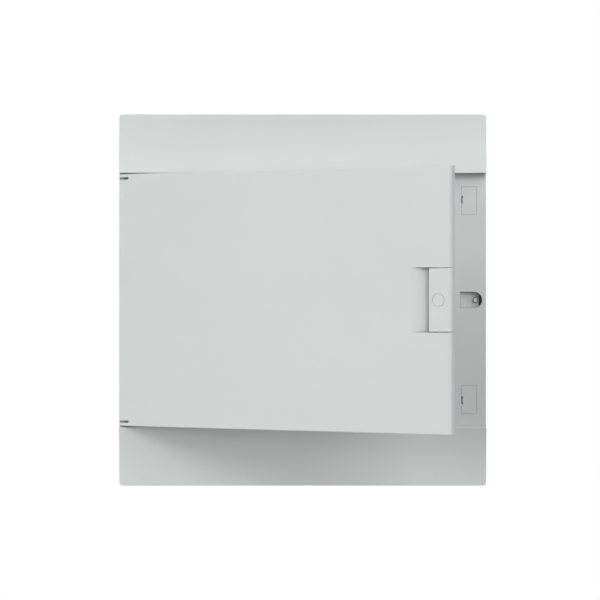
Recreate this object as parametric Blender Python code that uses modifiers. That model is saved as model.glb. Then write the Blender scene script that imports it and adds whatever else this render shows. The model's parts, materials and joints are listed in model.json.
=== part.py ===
"""Residential load center: a wall-mounted two-row, 36-way plastic distribution board.

Metres, +Z up.  The board hangs on a wall whose surface is the plane Y = 0; the front faces -Y,
and right is +X.  Origin: centre of the back face that lies on the wall.
Dimensions are in millimetres and are turned into metres when a mesh is made.
The door and its handle are drawn closed, and the hinge empty swings them open.
"""

import math

import bmesh
import bpy
from mathutils import Matrix, Vector

# ------------------------------------------------------------------ driving dimensions (mm)
MM = 0.001
SIDES = (-1, 1)
MIDDLE = (0, 0)

# front cover
WIDTH, HEIGHT = 430.0, 435.0
HALF_HEIGHT = HEIGHT / 2
CORNER_R = 4.0
WALL = 2.5  # moulded wall thickness of cover and box
Y_FRONT = -105.0  # closed door face and the inner edges of the two bands
BAND_FALL = 5.2  # how far each band curves back towards its outer edge
LEDGE_DROP = 9.0  # depth of the door seat below Y_FRONT
Y_LEDGE = Y_FRONT + LEDGE_DROP
Y_SKIRT = -54.0  # back edge of the cover's skirt
MID_Z = 148.7  # half height of the door bay between the bands
TUB_X, TUB_Z, Y_PANEL = 171.0, 140.0, -81.0  # recess that carries the two DIN windows
WINDOW_X, WINDOW_Z = 158.3, 23.0  # half sizes

# back box
BOX_GAP = 0.5  # play between the box and the cover's skirt
BOX_W, BOX_H = WIDTH - 2 * (WALL + BOX_GAP), HEIGHT - 2 * (WALL + BOX_GAP)
BOX_FLOOR = 3.0
Y_RIM = -58.0  # front rim of the box, inside the skirt
Y_ROOT = -1.5  # where posts start, inside the box floor

# DIN rows
MODULE = 17.5  # one DIN way
WAYS = 18
ROW_END = WAYS * MODULE / 2
ROW_Z = 75.0  # rows at +ROW_Z and -ROW_Z
Y_RAIL = -31.0  # front plane of the DIN rails' flanges
POST_X = 172.0  # DIN rail supports

# door
DOOR_OPEN = 28.3  # degrees open in the rest pose
DOOR_X, DOOR_Z = 214.2, 147.3
DOOR_T, DOOR_WALL = 8.2, 2.4
Y_DOOR_BACK = Y_FRONT + DOOR_T
HINGE_X, HINGE_Y = -211.5, Y_FRONT + 2.8
HINGE_AXIS = (HINGE_X, HINGE_Y, 0)
PIN_R = 1.15
TONGUE_Z0, TONGUE_Z1, TONGUE_X = 140.7, 143.5, -200.9  # flex slot beside each hinge pin
SLOT_INSET = 1.3  # from the door's hinge edge to the slot

# pull handle
HANDLE_X0, HANDLE_Z = 186.5, 34.9
NOTCH_Z = 35.7
LATCH_X, LATCH_Y = 208.2, Y_FRONT + 5.0  # pivot of the pull handle, door closed
LATCH_AXIS = (LATCH_X, LATCH_Y, 0)
LATCH_FROM_HINGE = (LATCH_X - HINGE_X, LATCH_Y - HINGE_Y, 0)
SCOOP_X, SCOOP_LENGTH, SCOOP_DEEP = 161.0, 25.5, 7.0

# fastener pockets, caps and screws
POCKET_X0, POCKET_XC, POCKET_R = 184.6, 200.7, 9.8
POCKET_WALL = 2.2
LOCK_X = 202.8  # quarter-turn fastener
CATCH_X = 206.9  # start of the deep end of the pocket that takes the door's hook
CAP_X, CAP_Z, CAP_W, CAP_H = 195.1, 116.8, 17.5, 32.5
CAP_GAP = 0.3

# corner name: sides in x and z
CORNERS = {
    "lower_left": (-1, -1),
    "upper_left": (-1, 1),
    "lower_right": (1, -1),
    "upper_right": (1, 1),
}


def four(x, z):
    """The four mirror images of a point, as (x, z)."""
    return [(sx * x, sz * z) for sx, sz in CORNERS.values()]


POST_CENTRES = four(POST_X, ROW_Z)
CAP_CENTRES = four(CAP_X, CAP_Z)
MOUNT_CENTRES = four(130, 175)
LOCK_CENTRES = [(side * LOCK_X, 0) for side in SIDES]

GREY = (0.63, 0.655, 0.65)
# base colour, roughness, metallic
MATERIALS = {
    "cover": (GREY, 0.42, 0.0),
    "door": (GREY, 0.38, 0.0),
    "box": ((0.60, 0.62, 0.615), 0.5, 0.0),
    "device": ((0.83, 0.84, 0.83), 0.4, 0.0),
    "toggle_dark": ((0.06, 0.065, 0.07), 0.35, 0.0),
    "toggle_blue": ((0.05, 0.13, 0.36), 0.35, 0.0),
    "button": ((0.86, 0.62, 0.08), 0.35, 0.0),
    "blank": ((0.68, 0.70, 0.69), 0.45, 0.0),
    "zinc": ((0.72, 0.73, 0.74), 0.32, 1.0),
    "steel": ((0.62, 0.63, 0.64), 0.28, 1.0),
    "brass": ((0.72, 0.55, 0.25), 0.3, 1.0),
    "comb": ((0.30, 0.31, 0.33), 0.5, 0.0),
    "card": ((0.90, 0.90, 0.87), 0.7, 0.0),
    "fastener": ((0.74, 0.76, 0.755), 0.4, 0.0),
}

# ------------------------------------------------------------------ scene
for old in list(bpy.data.objects):
    bpy.data.objects.remove(old, do_unlink=True)

PARTS = bpy.data.collections.new("residential_load_center")
CUTTERS = bpy.data.collections.new("cutters")
bpy.context.scene.collection.children.link(PARTS)
bpy.context.scene.collection.children.link(CUTTERS)


def material(slot):
    found = bpy.data.materials.get(slot)
    if found:
        return found
    colour, roughness, metallic = MATERIALS[slot]
    made = bpy.data.materials.new(slot)
    made.use_nodes = True
    shader = made.node_tree.nodes["Principled BSDF"]
    shader.inputs["Base Color"].default_value = (*colour, 1)
    shader.inputs["Roughness"].default_value = roughness
    shader.inputs["Metallic"].default_value = metallic
    made.diffuse_color = (*colour, 1)
    return made


# ------------------------------------------------------------------ solids
# extrusion axis: matrix from outline (u, v) and extrusion w to world x, y, z
PRISM_FRAMES = {
    "X": Matrix(((0, 0, 1, 0), (1, 0, 0, 0), (0, 1, 0, 0), (0, 0, 0, 1))),
    "Y": Matrix(((1, 0, 0, 0), (0, 0, 1, 0), (0, 1, 0, 0), (0, 0, 0, 1))),
    "Z": Matrix.Identity(4),
}
ROD_TURNS = {
    "X": Matrix.Rotation(math.pi / 2, 4, "Y"),
    "Y": Matrix.Rotation(-math.pi / 2, 4, "X"),
    "Z": Matrix.Identity(4),
}


def bevel_edges(shape, edges, radius, segments):
    bmesh.ops.bevel(
        shape, geom=edges, offset=radius, segments=segments, affect="EDGES", profile=0.5
    )


def box(x0, x1, y0, y1, z0, z1, radius=0.0, along=None, segments=3):
    """A cuboid; with a radius, its four edges along one axis are rounded."""
    shape = bmesh.new()
    bmesh.ops.create_cube(shape, size=1.0)
    size = Vector((abs(x1 - x0), abs(y1 - y0), abs(z1 - z0)))
    centre = Vector((x0 + x1, y0 + y1, z0 + z1)) / 2
    bmesh.ops.scale(shape, vec=size, verts=shape.verts)
    bmesh.ops.translate(shape, vec=centre, verts=shape.verts)
    if radius:
        k = "XYZ".index(along)
        edges = [e for e in shape.edges if abs((e.verts[0].co - e.verts[1].co)[k]) > 1e-6]
        bevel_edges(shape, edges, radius, segments)
    return shape


def block(centre, half_x, half_z, y0, y1, **rounding):
    """A box given by its centre (x, z), its half sizes and its reach in y."""
    x, z = centre
    return box(x - half_x, x + half_x, y0, y1, z - half_z, z + half_z, **rounding)


def blocks(centres, *sizes):
    return [block(centre, *sizes) for centre in centres]


def rod(axis, start, end, radius, centre, segments=16, end_radius=None):
    """A cylinder or cone along axis; centre holds its two other coordinates in x, y, z order."""
    if end_radius is None:
        end_radius = radius
    (low, low_radius), (high, high_radius) = sorted(((start, radius), (end, end_radius)))
    shape = bmesh.new()
    bmesh.ops.create_cone(
        shape, cap_ends=True, segments=segments,
        radius1=low_radius, radius2=high_radius, depth=high - low,
    )  # fmt: skip
    at = list(centre)
    at.insert("XYZ".index(axis), (low + high) / 2)
    matrix = Matrix.Translation(at) @ ROD_TURNS[axis]
    bmesh.ops.transform(shape, matrix=matrix, verts=shape.verts)
    return shape


def rods(centres, start, end, radius, segments):
    """Equal rods along y at the given (x, z) centres."""
    return [rod("Y", start, end, radius, centre, segments) for centre in centres]


def rod_pair(z0, z1, radius, centre):
    """A rod along z from z0 to z1, and its mirror image below."""
    return [rod("Z", side * z0, side * z1, radius, centre, 12) for side in SIDES]


def prism(outlines, axis, start, end):
    """An outline, or a list of outline and holes, filled and extruded along axis."""
    if isinstance(outlines[0][0], (int, float)):
        outlines = [outlines]
    curve = bpy.data.curves.new("outline", "CURVE")
    curve.dimensions = "2D"
    curve.fill_mode = "BOTH"
    curve.extrude = abs(end - start) / 2
    for outline in outlines:
        spline = curve.splines.new("POLY")
        spline.points.add(len(outline) - 1)
        for point, (u, v) in zip(spline.points, outline):
            point.co = (u, v, 0, 1)
        spline.use_cyclic_u = True
    flat = bpy.data.objects.new("outline", curve)
    bpy.context.scene.collection.objects.link(flat)
    graph = bpy.context.evaluated_depsgraph_get()
    mesh = bpy.data.meshes.new_from_object(flat.evaluated_get(graph))
    bpy.data.objects.remove(flat, do_unlink=True)
    shape = bmesh.new()
    shape.from_mesh(mesh)
    bpy.data.meshes.remove(mesh)
    bmesh.ops.remove_doubles(shape, verts=shape.verts, dist=0.001)
    bmesh.ops.translate(shape, vec=(0, 0, (start + end) / 2), verts=shape.verts)
    bmesh.ops.transform(shape, matrix=PRISM_FRAMES[axis], verts=shape.verts)
    bmesh.ops.recalc_face_normals(shape, faces=shape.faces)
    return shape


def arc(cx, cy, radius, start, end, steps):
    """Points on an arc, angles in degrees."""
    angles = [math.radians(start + (end - start) * i / steps) for i in range(steps + 1)]
    return [(cx + radius * math.cos(a), cy + radius * math.sin(a)) for a in angles]


def ring(cx, cy, outer, inner, count):
    """Two concentric circles of count points each: the outline of a scored groove."""
    return [arc(cx, cy, radius, 0, 360 - 360 / count, count - 1) for radius in (outer, inner)]


def rounded(width, height, radius, cx=0.0, cy=0.0, steps=3):
    """A rectangle with rounded corners."""
    points = []
    for sx, sy, start in ((1, 1, 0), (-1, 1, 90), (-1, -1, 180), (1, -1, 270)):
        corner_x = cx + sx * (width / 2 - radius)
        corner_y = cy + sy * (height / 2 - radius)
        points += arc(corner_x, corner_y, radius, start, start + 90, steps)
    return points


def mirrored(profile):
    """A (y, z) profile closed by its mirror image in the plane z = 0."""
    return profile + [(y, -z) for y, z in reversed(profile)]


def mesh_of(name, shapes, origin=(0, 0, 0)):
    """One mesh in metres, about origin, from shapes that don't touch each other."""
    whole = bmesh.new()
    for shape in shapes:
        part = bpy.data.meshes.new("part")
        shape.to_mesh(part)
        shape.free()
        whole.from_mesh(part)
        bpy.data.meshes.remove(part)
    bmesh.ops.translate(whole, vec=-Vector(origin), verts=whole.verts)
    bmesh.ops.scale(whole, vec=(MM, MM, MM), verts=whole.verts)
    mesh = bpy.data.meshes.new(name)
    whole.to_mesh(mesh)
    whole.free()
    return mesh


# ------------------------------------------------------------------ objects
class Piece:
    """An object with live Boolean modifiers; its cutters sit in the cutters collection.

    With a parent, origin is where the parent lies while the door is closed.
    """

    def __init__(self, name, slot, *shapes, parent=None, origin=(0, 0, 0)):
        self.parent, self.origin, self.count = parent, origin, 0
        self.obj = bpy.data.objects.new(name, mesh_of(name, shapes, origin))
        self.obj.data.materials.append(material(slot))
        PARTS.objects.link(self.obj)
        self.obj.parent = parent

    def _boolean(self, operation, shapes):
        self.count += 1
        name = f"{self.obj.name}_{operation.lower()}_{self.count}"
        helper = bpy.data.objects.new(name, mesh_of("helper", shapes, self.origin))
        CUTTERS.objects.link(helper)
        helper.hide_render = True
        helper.display_type = "WIRE"
        helper.parent = self.parent
        modifier = self.obj.modifiers.new(helper.name, "BOOLEAN")
        modifier.operation = operation
        modifier.object = helper

    def cut(self, *shapes):
        self._boolean("DIFFERENCE", shapes)

    def join(self, *shapes):
        self._boolean("UNION", shapes)

    def keep(self, *shapes):
        self._boolean("INTERSECT", shapes)

    def bevel(self, width, segments, angle):
        modifier = self.obj.modifiers.new("edge_rounding", "BEVEL")
        modifier.width = width * MM
        modifier.segments = segments
        modifier.limit_method = "ANGLE"
        modifier.angle_limit = math.radians(angle)

    def baked(self):
        """The evaluated mesh, for pieces that are copied; object and cutters are removed."""
        bpy.context.view_layer.update()
        graph = bpy.context.evaluated_depsgraph_get()
        mesh = bpy.data.meshes.new_from_object(self.obj.evaluated_get(graph))
        mesh.name = self.obj.name + "_mesh"
        helpers = [m.object for m in self.obj.modifiers if m.type == "BOOLEAN"]
        for obj in [self.obj, *helpers]:
            bpy.data.objects.remove(obj, do_unlink=True)
        return mesh


def smooth(mesh, angle=35):
    mesh.shade_smooth()
    mesh.set_sharp_from_angle(angle=math.radians(angle))


def place(name, data, at=(0, 0, 0), parent=None):
    """An object that shows the given data, or an empty, with its origin at a point in mm."""
    obj = bpy.data.objects.new(name, data)
    PARTS.objects.link(obj)
    obj.location = Vector(at) * MM
    obj.parent = parent
    return obj


def empty(name, at, parent=None):
    obj = place(name, None, at, parent)
    obj.empty_display_size = 0.02
    return obj


def transformed(mesh, matrix):
    """A turned or mirrored copy of a mesh."""
    copy = mesh.copy()
    copy.transform(matrix)
    if matrix.determinant() < 0:
        copy.flip_normals()
    return copy


# ------------------------------------------------------------------ back box
def build_back_box():
    bead_inset = 0.7
    bead = rounded(WIDTH - 2 * bead_inset, HEIGHT - 2 * bead_inset, 5)
    hollow = rounded(BOX_W - 2 * WALL, BOX_H - 2 * WALL, 3.5)
    back = Piece("back_box", "box", prism(rounded(BOX_W, BOX_H, 5), "Y", 0, Y_RIM))
    back.join(prism(bead, "Y", -50, -53.7))  # the cover's skirt butts against it
    back.cut(prism(hollow, "Y", -BOX_FLOOR, -62))
    # posts for the rails, for the cover screws and for the fasteners
    back.join(
        *rods(POST_CENTRES, Y_ROOT, -18, 4.5, 12),
        *rods(CAP_CENTRES, Y_ROOT, -86.5, 5.0, 12),
        *blocks(LOCK_CENTRES, 6.5, 6.5, Y_ROOT, -80.5),
    )
    back.cut(
        *rods(POST_CENTRES, -6, -20, 2.05, 12),
        *rods(CAP_CENTRES, -66, -90, 2.0, 12),
        *rods(LOCK_CENTRES, -72, -78, 4.8, 16),
        # gland openings in the top and bottom walls
        *[box(-150, 150, -14, -44, side * 210, side * 218) for side in SIDES],
    )
    back.cut(
        # slots that pass the fasteners' cross bars
        *blocks(LOCK_CENTRES, 2.3, 4.7, -77, -83),
        # four shallow panels that leave a border and a cross standing against the wall
        *[prism(rounded(186, 190, 8, x, z), "Y", 1, -0.9) for x, z in four(103, 105)],
    )
    back.join(*rods(MOUNT_CENTRES, -0.01, -1.9, 8, 20))
    back.cut(
        *rods(MOUNT_CENTRES, 1, -5, 2.75, 16),
        # cable knock-outs scored into the back and side walls
        *[prism(ring(x, z, 14, 12.9, 18), "Y", -0.5, -1.5) for x, z in four(60, 150)],
        *[
            prism(ring(-27, z, 11, 10, 16), "X", side * 211.4, side * 213)
            for side in SIDES
            for z in (-90, 90)
        ],
    )


# ------------------------------------------------------------------ front cover
def band_front(z):
    """Y of the band at this height, a shallow hollow curve from the door edge outwards."""
    return Y_FRONT + BAND_FALL * (1 - (1 - (z - MID_Z) / (HALF_HEIGHT - MID_Z)) ** 2)


def cover_shell():
    heights = [MID_Z + (HALF_HEIGHT - MID_Z) * i / 8 for i in range(9)]
    outer = [(Y_LEDGE, MID_Z)] + [(band_front(z), z) for z in heights] + [(Y_SKIRT, HALF_HEIGHT)]
    inner = [
        (Y_LEDGE + WALL, MID_Z + WALL),
        (band_front(MID_Z) + WALL + 0.5, MID_Z + WALL),
        *[(band_front(z) + WALL, z) for z in heights[2:7:2]],
        (band_front(HALF_HEIGHT) + WALL, HALF_HEIGHT - WALL),
        (-40, HALF_HEIGHT - WALL),
    ]
    cover = Piece("front_cover", "cover", prism(mirrored(outer), "X", -WIDTH / 2, WIDTH / 2))
    cover.keep(prism(rounded(WIDTH, HEIGHT, CORNER_R, steps=4), "Y", -20, -120))
    cover.bevel(width=1.4, segments=2, angle=50)
    cover.cut(prism(mirrored(inner), "X", -WIDTH / 2 + WALL, WIDTH / 2 - WALL))
    return cover


def pockets(grow, y0, y1):
    """Both fastener pockets: straight end towards the middle, round end outwards."""
    radius, x0 = POCKET_R + grow, POCKET_X0 - grow
    outline = [(x0, radius), (x0, -radius)] + arc(POCKET_XC, 0, radius, -90, 90, 12)
    return [prism([(side * x, z) for x, z in outline], "Y", y0, y1) for side in SIDES]


def catches(grow, y0, y1):
    """The round ends of the pockets, beyond CATCH_X."""
    radius, x0 = POCKET_R + grow, CATCH_X - grow
    half = math.degrees(math.acos((x0 - POCKET_XC) / radius))
    outline = arc(POCKET_XC, 0, radius, -half, half, 8)
    return [prism([(side * x, z) for x, z in outline], "Y", y0, y1) for side in SIDES]


def ramps():
    """Ramps from the lip of each pocket down to the fastener."""
    # distance from the middle, depth below the ledge
    outline = [
        (POCKET_X0 - 0.8, 2.8), (POCKET_X0 + 3, 3.1), (197.5, 6), (197.5, 7.5),
        (POCKET_X0 - 0.8, 7.5),
    ]  # fmt: skip
    return [
        prism([(side * x, Y_LEDGE + depth) for x, depth in outline], "Z", -10.6, 10.6)
        for side in SIDES
    ]


def build_cover():
    cover = cover_shell()
    # outsides of the tub, the pockets and the cap wells
    cover.join(
        block(MIDDLE, TUB_X + WALL, TUB_Z + WALL, Y_LEDGE + 1, Y_PANEL + WALL),
        *pockets(POCKET_WALL, Y_LEDGE + 1, Y_LEDGE + 9),
        *blocks(CAP_CENTRES, 10.2, 17.6, Y_LEDGE + 1, Y_LEDGE + 8),
        # solid corner blocks that carry the hinge pins
        *[
            box(-213.8, -205.5, Y_FRONT + 1.4, Y_LEDGE - 0.6,
                side * (MID_Z + 0.6), side * (MID_Z + 8))
            for side in SIDES
        ],
    )  # fmt: skip
    cover.join(*catches(POCKET_WALL, Y_LEDGE + 7, Y_LEDGE + 13.7))
    # the recesses themselves, and the pin holes
    cover.cut(
        block(MIDDLE, TUB_X, TUB_Z, Y_LEDGE - 3, Y_PANEL, radius=4, along="Y"),
        *pockets(0, Y_LEDGE - 3, Y_LEDGE + 6),
        *blocks(CAP_CENTRES, CAP_W / 2 + CAP_GAP, CAP_H / 2 + CAP_GAP, Y_LEDGE - 3, Y_LEDGE + 1.1),
        *rod_pair(MID_Z - 3, MID_Z + 5.6, PIN_R + 0.3, (HINGE_X, HINGE_Y)),
    )
    cover.join(*ramps())
    # DIN windows, fastener seats and cap wells
    cover.cut(
        *[
            block((0, side * ROW_Z), WINDOW_X, WINDOW_Z, Y_PANEL - 3, Y_PANEL + 6,
                  radius=1.2, along="Y", segments=2)
            for side in SIDES
        ],
        *rods(LOCK_CENTRES, Y_LEDGE + 7.3, Y_LEDGE + 2, 3.5, 20),
        *blocks(CAP_CENTRES, 8.2, 15.7, Y_LEDGE + 0.5, Y_LEDGE + 6),
    )  # fmt: skip
    cover.cut(
        *rods(CAP_CENTRES, Y_LEDGE + 3, Y_LEDGE + 10, 2.1, 12),
        *rods(LOCK_CENTRES, Y_LEDGE + 5, Y_LEDGE + 15, 2.3, 12),
        # deep round end of each pocket
        *catches(0, Y_LEDGE - 1, Y_LEDGE + 12),
    )
    # the recess behind each cap reaches out to its pry slot
    cover.cut(
        *[
            box(sx * (CAP_X - 8.0), sx * (CAP_X - 9.0), Y_LEDGE + 0.4, Y_LEDGE + 5.9,
                sz * (CAP_Z - 2.7), sz * (CAP_Z + 4.5))
            for sx, sz in CORNERS.values()
        ]
    )  # fmt: skip
    # undercut behind the rim that the door's hook catches on
    cover.cut(box(208.5, 211.9, Y_LEDGE + WALL, Y_LEDGE + 5.6, -4.2, 4.2))


# ------------------------------------------------------------------ door, about its hinge
def slab(x0, x1, y0, y1, half_z, free_radius, edge_radius):
    """A plate whose front edge at x1 has a larger radius than its other front edges."""
    shape = box(x0, x1, y0, y1, -half_z, half_z)

    def at_free_edge(vert):
        return vert.co.x > x1 - 0.01 and vert.co.y < y0 + 0.01

    free = [e for e in shape.edges if all(at_free_edge(v) for v in e.verts)]
    bevel_edges(shape, free, free_radius, 4)

    def on_front_outline(edge):
        verts = edge.verts
        if any(v.co.y >= y0 + free_radius + 0.01 for v in verts):
            return False
        if len(edge.link_faces) != 2 or edge.calc_face_angle() <= 0.6:
            return False
        at_end = all(abs(abs(v.co.z) - half_z) < 0.01 for v in verts)
        return at_end or all(v.co.x < x0 + 0.01 for v in verts)

    bevel_edges(shape, [e for e in shape.edges if on_front_outline(e)], edge_radius, 2)
    return shape


def flex_slots():
    """Through slots that free a springy tongue at each hinge corner."""
    outline = rounded(
        TONGUE_X + DOOR_X - SLOT_INSET,
        TONGUE_Z1 - TONGUE_Z0,
        1.39,
        (TONGUE_X - DOOR_X + SLOT_INSET) / 2,
        (TONGUE_Z0 + TONGUE_Z1) / 2,
    )
    y0, y1 = Y_FRONT - 2, Y_DOOR_BACK + 2
    return [prism([(x, side * z) for x, z in outline], "Y", y0, y1) for side in SIDES]


def finger_scoop():
    """Hollow that deepens across the door's face towards the handle."""
    curve = [
        (SCOOP_X + SCOOP_LENGTH * i / 10, Y_FRONT + SCOOP_DEEP * (i / 10) ** 2.2)
        for i in range(2, 11)
    ]
    outline = [
        (SCOOP_X + 2.0, Y_FRONT - 1), *curve, (193.5, Y_FRONT + SCOOP_DEEP), (193.5, Y_FRONT - 1),
    ]  # fmt: skip
    return prism(outline, "Z", -NOTCH_Z, NOTCH_Z)


def build_door(hinge):
    lip = 2.2  # wall around the door's edge
    plate = slab(-DOOR_X, DOOR_X, Y_FRONT, Y_DOOR_BACK, DOOR_Z, 3.6, 1.1)
    door = Piece("door", "door", plate, parent=hinge, origin=HINGE_AXIS)
    door.cut(block(MIDDLE, DOOR_X - lip, DOOR_Z - lip, Y_FRONT + DOOR_WALL, Y_DOOR_BACK + 3))
    frame_z = NOTCH_Z + 2.4
    door.join(
        # solid surround of the handle opening
        box(157.5, DOOR_X - 1, Y_FRONT + 1.2, Y_DOOR_BACK - 0.2, -frame_z, frame_z),
        # tongues that carry the hinge pins
        *[
            box(-DOOR_X + 0.6, TONGUE_X + 1.5, Y_FRONT + 1.4, Y_FRONT + 7.4,
                side * (TONGUE_Z1 - 0.3), side * (DOOR_Z - 0.6))
            for side in SIDES
        ],
        # stiffening ribs on the inside of the face
        *[box(x, x + 1.4, Y_FRONT + 1.5, Y_FRONT + 4.3, -120, 120) for x in (-178, 137)],
    )  # fmt: skip
    door.cut(
        *flex_slots(),
        # opening that the handle fills
        box(193, DOOR_X + 3, Y_FRONT - 2, Y_DOOR_BACK + 2, -NOTCH_Z, NOTCH_Z),
    )
    door.cut(finger_scoop())
    # the flex slots run out through the hinge edge behind the face
    door.cut(
        *[
            box(-DOOR_X - 3, -DOOR_X + 3, Y_FRONT + 1.7, Y_DOOR_BACK + 3,
                side * (TONGUE_Z0 + 0.02), side * (TONGUE_Z1 - 0.02))
            for side in SIDES
        ]
    )  # fmt: skip
    door.join(*rod_pair(DOOR_Z - 1.5, MID_Z + 4.6, PIN_R, (HINGE_X, HINGE_Y)))
    # the lip is chamfered on the hinge side, so that it clears the seat as it swings
    chamfer = [
        (-DOOR_X - 1, Y_DOOR_BACK - 1.6),
        (-DOOR_X + 1.9, Y_DOOR_BACK + 1.3),
        (-DOOR_X - 1, Y_DOOR_BACK + 1.3),
    ]
    door.cut(
        *rod_pair(NOTCH_Z - 1.5, NOTCH_Z + 5, 1.55, (LATCH_X, LATCH_Y)),
        prism(chamfer, "Z", -DOOR_Z - 2, DOOR_Z + 2),
    )


def build_chart(hinge):
    """Circuit chart just behind the door's face."""
    y_front = Y_FRONT + DOOR_WALL + 0.3
    card = box(-150, 20, y_front, y_front + 0.6, -62, 62, radius=3, along="Y", segments=2)
    Piece("circuit_chart", "card", card, parent=hinge, origin=HINGE_AXIS)


def build_handle(pivot):
    """Pull handle, on its own pivot in the door."""
    lip = 2.2
    y_inside = Y_FRONT + 2.4
    plate = slab(HANDLE_X0, DOOR_X, Y_FRONT, Y_FRONT + 7.2, HANDLE_Z, 3.6, 0.8)
    hand = Piece("door_handle", "door", plate, parent=pivot, origin=LATCH_AXIS)
    inside_z, beyond_z = HANDLE_Z - lip, HANDLE_Z + 3
    hand.cut(box(HANDLE_X0 - 3, DOOR_X - lip, y_inside, Y_FRONT + 9, -inside_z, inside_z))
    hand.cut(box(HANDLE_X0 - 3, 196, y_inside, Y_FRONT + 9, -beyond_z, beyond_z))
    rib_z = HANDLE_Z - 2
    hand.join(
        box(HANDLE_X0 + 0.3, HANDLE_X0 + 2.3, Y_FRONT + 1.5, Y_FRONT + 3.7, -rib_z, rib_z),
        rod("Z", -3.5, 3.5, 2.7, (LATCH_X, LATCH_Y), 16),
    )
    hand.join(box(206.2, 210.2, Y_FRONT + 1.6, LATCH_Y, -3.3, 3.3))
    # the hook's barb sits behind the pocket's rim; its stem is thin and relieved, so that the
    # pull swings it clear of the rim and of the fastener.  Columns: x, y
    hook = [
        (207.7, LATCH_Y + 0.5), (209.2, LATCH_Y + 0.5), (209.2, Y_FRONT + 11.8),
        (211.1, Y_FRONT + 11.8), (211.1, Y_FRONT + 12.3), (209.3, Y_FRONT + 13.8),
        (208.7, Y_FRONT + 13.8), (207.7, Y_FRONT + 12.4),
    ]  # fmt: skip
    hand.join(prism(hook, "Z", -2.6, 2.6))
    hand.cut(
        rod("Z", -40, 40, 1.55, (LATCH_X, LATCH_Y), 12),
        # scored ring of the lock knock-out
        prism(ring(198.1, 0, 7.3, 6.8, 48), "Y", Y_FRONT - 1, Y_FRONT + 0.6),
    )


def build_handle_pin(hinge):
    shape = rod("Z", -37.9, 37.9, 1.25, (LATCH_X, LATCH_Y), 12)
    pin = Piece("handle_pivot_pin", "steel", shape, parent=hinge, origin=HINGE_AXIS)
    smooth(pin.obj.data)


def build_handle_spring(hinge):
    """Torsion spring around the handle's pin: a short leg, the coil and a long leg."""
    turns, steps, coil_radius = 4, 10, 1.95
    coil_z, coil_height = 4.4, 3.0
    coil = []
    for i in range(turns * steps + 6):
        angle = 2 * math.pi * i / steps
        z = coil_z + coil_height * i / (turns * steps)
        coil.append((coil_radius * math.cos(angle), coil_radius * math.sin(angle), z))
    leg_z = coil[-1][2] + 0.1
    path = [(3.2, -0.9, coil_z), (2.5, -0.55, coil_z), *coil]
    path += [(-8.0, 3.2, leg_z), (-17.0, 3.7, leg_z)]
    wire = bpy.data.curves.new("handle_spring", "CURVE")
    wire.dimensions = "3D"
    wire.bevel_depth = 0.3 * MM
    wire.bevel_resolution = 1
    wire.use_fill_caps = True
    spline = wire.splines.new("POLY")
    spline.points.add(len(path) - 1)
    for point, position in zip(spline.points, path):
        point.co = (*(Vector(position) * MM), 1)
    wire.materials.append(material("steel"))
    place("handle_spring", wire, LATCH_FROM_HINGE, hinge)


def build_door_assembly():
    hinge = empty("door_hinge", HINGE_AXIS)
    hinge.rotation_euler = (0, 0, -math.radians(DOOR_OPEN))
    pivot = empty("handle_pivot", LATCH_FROM_HINGE, hinge)
    build_door(hinge)
    build_chart(hinge)
    build_handle(pivot)
    build_handle_pin(hinge)
    build_handle_spring(hinge)


# ------------------------------------------------------------------ fasteners, screws and caps
def build_fasteners():
    """Quarter-turn fasteners: slotted head, shank and cross bar."""
    head = rod("Y", Y_LEDGE + 6, Y_LEDGE + 2.8, 2.8, MIDDLE, 20, end_radius=2.2)
    quarter = Piece("quarter_turn", "fastener", head)
    quarter.join(rod("Y", Y_LEDGE + 5.6, -74.4, 1.9, MIDDLE, 12))
    quarter.join(block(MIDDLE, 4, 1.2, -75, -77.5))
    quarter.cut(block(MIDDLE, 2.3, 0.4, Y_LEDGE + 2, Y_LEDGE + 3.7))
    mesh = quarter.baked()
    place("cover_lock_right", mesh, (LOCK_X, 0, 0))
    place("cover_lock_left", mesh, (-LOCK_X, 0, 0))


def cap_mesh():
    """Cap of the upper right screw."""
    half_w, half_h, step = CAP_W / 2, CAP_H / 2, 0.9
    cap = Piece("cap", "cover", block(MIDDLE, half_w, half_h, Y_LEDGE, Y_LEDGE + 0.8))
    cap.join(block(MIDDLE, half_w - step, half_h - step, Y_LEDGE + 0.5, Y_LEDGE + 2.2))
    cap.join(*[box(-4, 4, Y_LEDGE + 1.5, Y_LEDGE + 5.2, t * 12.2, t * 13.4) for t in SIDES])
    # waisted pry slot in the edge towards the middle of the board
    y0, y1 = Y_LEDGE - 1, Y_LEDGE + 4
    cap.cut(box(-half_w - 1, -half_w + 0.95, y0, y1, -2.8, 4.6))
    slot_ends = (-2.6, 4.4)
    cap.cut(*[box(-half_w - 1, -half_w + 1.7, y0, y1, z - 0.85, z + 0.85) for z in slot_ends])
    return cap.baked()


def slotted_screw(name, y_seat, y_head, radius, head_radius, segments, shank, slot):
    """Screw with a conical head; shank is y0, y1, radius and slot is half length, y0, y1."""
    shank_y0, shank_y1, shank_radius = shank
    head = rod("Y", y_seat, y_head, radius, MIDDLE, segments, end_radius=head_radius)
    screw = Piece(name, "zinc", head)
    screw.join(rod("Y", shank_y0, shank_y1, shank_radius, MIDDLE, 10))
    slot_half, slot_y0, slot_y1 = slot
    screw.cut(block(MIDDLE, slot_half, 0.4, slot_y0, slot_y1))
    return screw.baked()


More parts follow.
